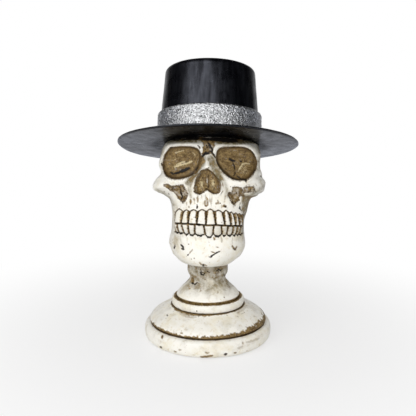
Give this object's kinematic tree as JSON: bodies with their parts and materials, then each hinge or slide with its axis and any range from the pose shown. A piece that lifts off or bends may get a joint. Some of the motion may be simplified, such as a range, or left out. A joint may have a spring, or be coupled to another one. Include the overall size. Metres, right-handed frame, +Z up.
{
  "type": "skull bust figurine",
  "caption": "Cast resin skull bust in a flat-crowned, wide-brimmed hat with a silver band, standing on a round turned pedestal with felt under its foot.",
  "frame": {"origin": "centre of the felt's underside, on the surface the bust stands on", "axes": "+Z up, the face looks along -Y, +X towards the bust's left hand"},
  "size_m": [0.1449, 0.1413, 0.2203],
  "materials": {
    "ivory_resin": "satin",
    "hat_black": "gloss",
    "band_silver": "satin",
    "rod_steel": "satin",
    "felt_black": "matte"
  },
  "bodies": {
    "root": {"pedestal": "ivory_resin", "felt_pad": "felt_black", "neck_rod": "rod_steel", "skull": "ivory_resin", "hat": "hat_black", "hat_band": "band_silver"}
  },
  "joints": []
}
